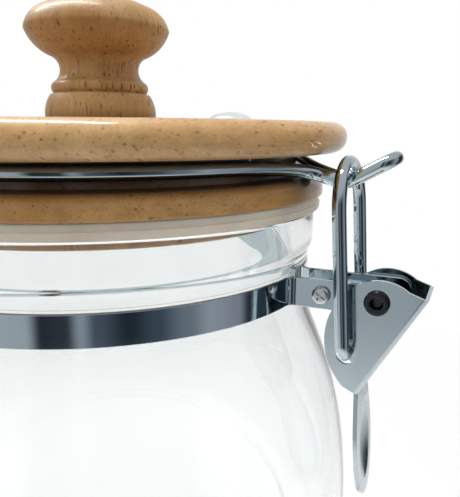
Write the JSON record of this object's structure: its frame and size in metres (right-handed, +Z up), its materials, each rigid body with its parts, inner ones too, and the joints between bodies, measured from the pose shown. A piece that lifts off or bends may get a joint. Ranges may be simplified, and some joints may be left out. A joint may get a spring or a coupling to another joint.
{
  "type": "clamp-top glass storage jar",
  "caption": "Round clear glass jar with a turned wooden lid and knob, silicone gasket, steel neck band, wire bail hinged at the back and an over-centre lever clamp at the front.",
  "frame": {"origin": "middle of the jar's base, on the surface it stands on", "axes": "+Z up along the jar's axis, +X towards the lever clamp, -X towards the rear hinge"},
  "size_m": [0.1574, 0.137, 0.2092],
  "materials": {
    "clear_glass": "clear, smooth, very slightly grey at the edges",
    "polished_steel": "polished strip steel",
    "chrome_wire": "bright plated wire",
    "plated_fastener": "plated, lightly brushed",
    "dark_rivet": "dark rolled steel",
    "beech": "varnished beech with short dark pores",
    "silicone": "translucent silicone",
    "grey_cap": "satin grey"
  },
  "bodies": {
    "jar": {"glass_jar": "clear_glass", "neck_band": "polished_steel", "clamp_screw": "plated_fastener", "clamp_nut": "plated_fastener", "lever_rivet": "dark_rivet", "hinge_bracket": "polished_steel"},
    "lid": {"lid_top_disc": "beech", "lid_base_disc": "beech", "gasket": "silicone", "knob": "beech", "knob_screw": "plated_fastener", "bail_ring": "chrome_wire", "vent_cap": "grey_cap", "vent_flap": "silicone"},
    "lever": {"lever": "polished_steel"},
    "link": {"link_wire": "chrome_wire"}
  },
  "joints": [
    {"name": "lid_hinge", "type": "hinge", "parent": "jar", "child": "lid", "pos_m": [-0.068, 0, 0.1455], "axis": [0, -1, 0], "range_deg": [0, 108]},
    {"name": "lever_pivot", "type": "hinge", "parent": "jar", "child": "lever", "pos_m": [0.0763, 0, 0.1387], "axis": [0, -1, 0], "range_deg": [0, 130], "deforming": ["link_wire"]},
    {"name": "link_pivot", "type": "hinge", "parent": "lever", "child": "link", "pos_m": [0.0701, 0, 0.1263], "axis": [0, -1, 0], "range_deg": [-300, 0]}
  ],
  "couplings": [
    {"joint": "link_pivot", "follows": "lever_pivot", "ratio": -2.27}
  ]
}
